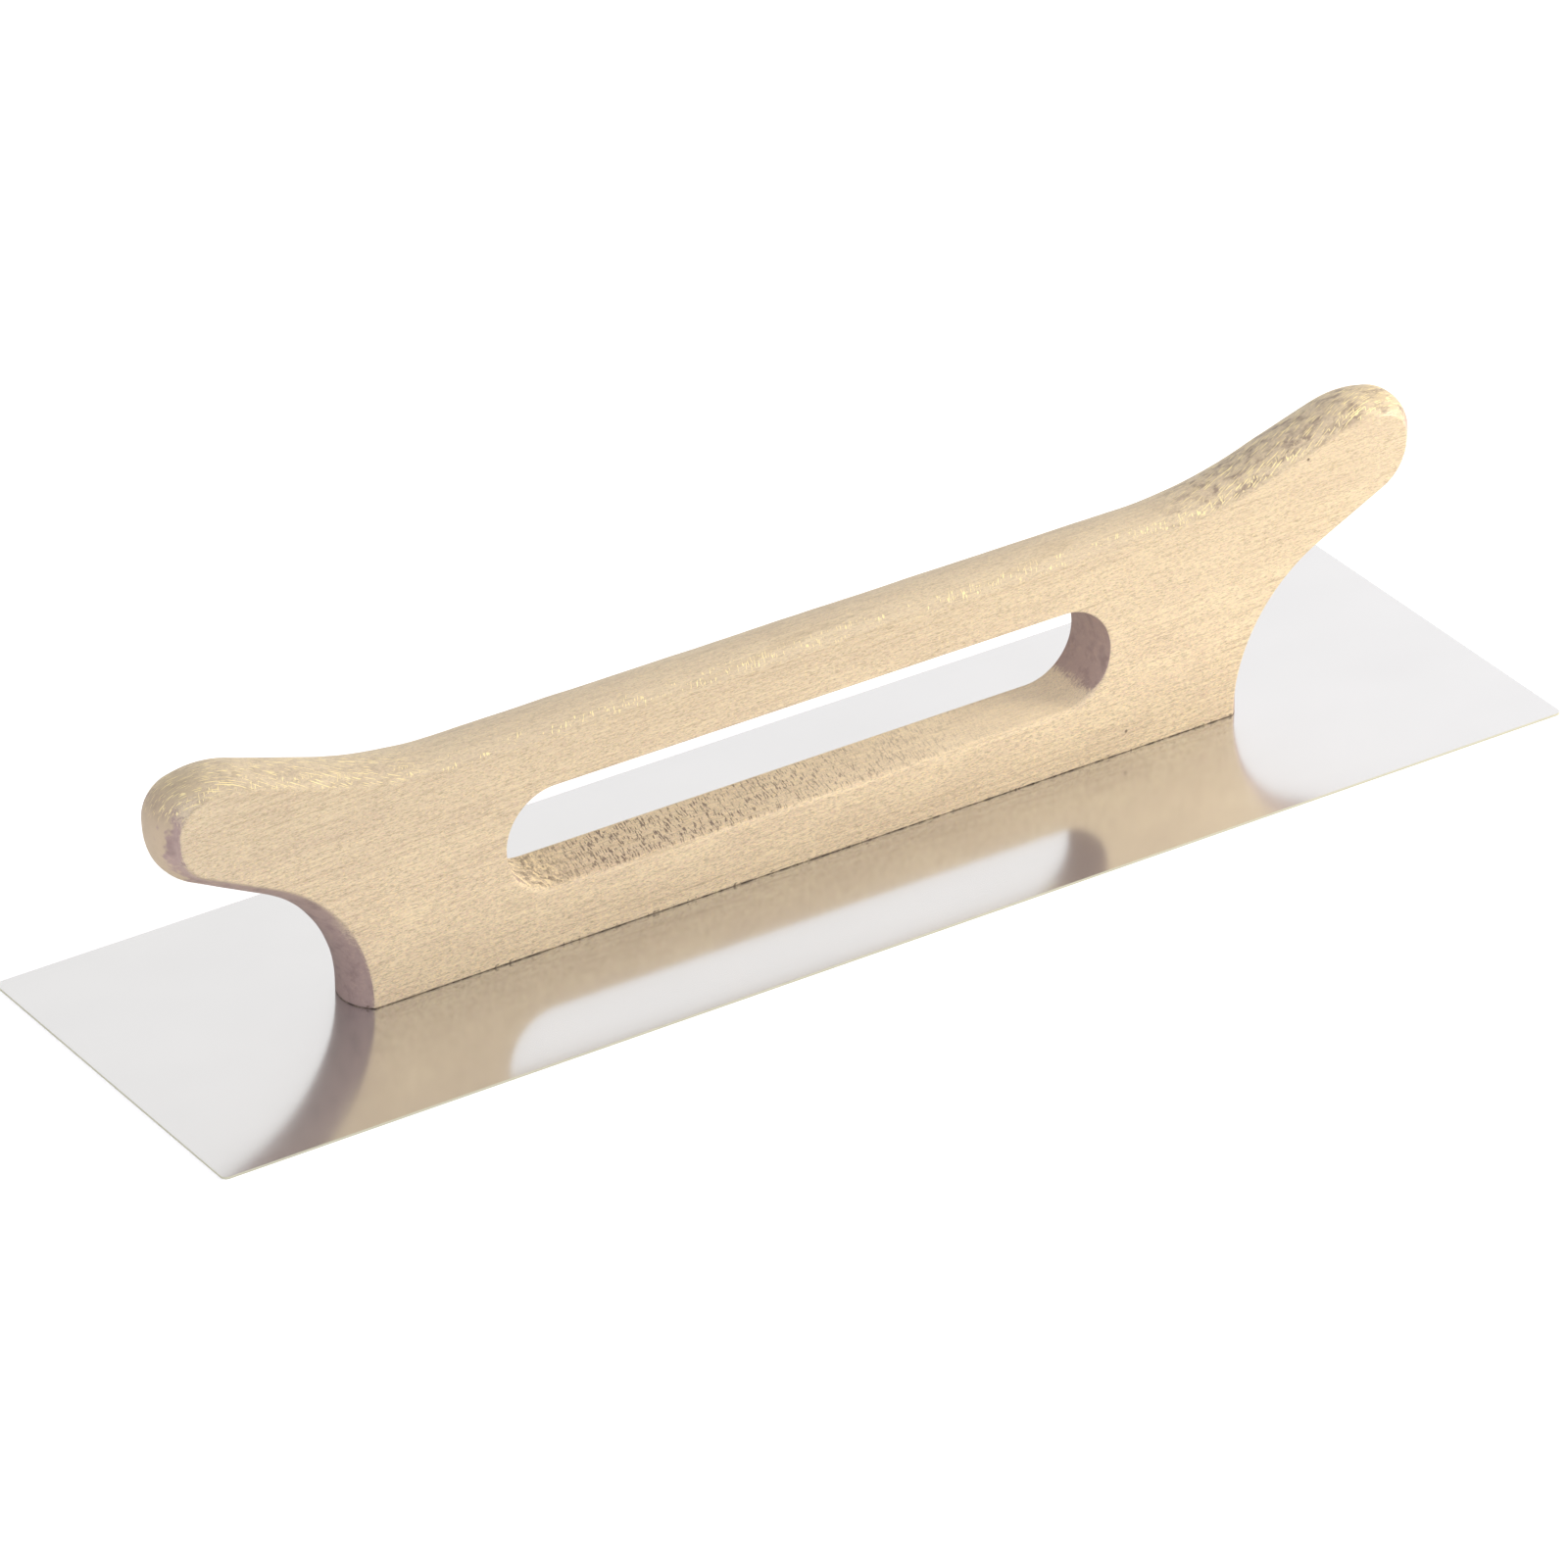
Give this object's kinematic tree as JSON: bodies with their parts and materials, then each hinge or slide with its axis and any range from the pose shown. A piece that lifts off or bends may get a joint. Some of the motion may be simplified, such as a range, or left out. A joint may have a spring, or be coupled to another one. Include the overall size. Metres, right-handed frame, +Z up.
{
  "type": "flemish finishing trowel",
  "caption": "Wide flat steel blade with a solid wooden handle standing on edge along its centre, with a long hand slot and an upswept horn at each end, for smoothing plaster or mortar.",
  "frame": {"origin": "centre of the blade's underside, the working face", "axes": "+X along the blade and the handle, +Y across the blade, +Z up from the blade to the handle"},
  "size_m": [0.48, 0.13, 0.0944],
  "materials": {
    "blade_steel": "polished stainless sheet",
    "handle_wood": "planed and sanded beech, unvarnished",
    "screw_steel": "plain steel"
  },
  "bodies": {
    "root": {"blade": "blade_steel", "handle": "handle_wood", "screw_1": "screw_steel", "screw_2": "screw_steel", "screw_3": "screw_steel", "screw_4": "screw_steel", "screw_5": "screw_steel", "screw_6": "screw_steel"}
  },
  "joints": []
}
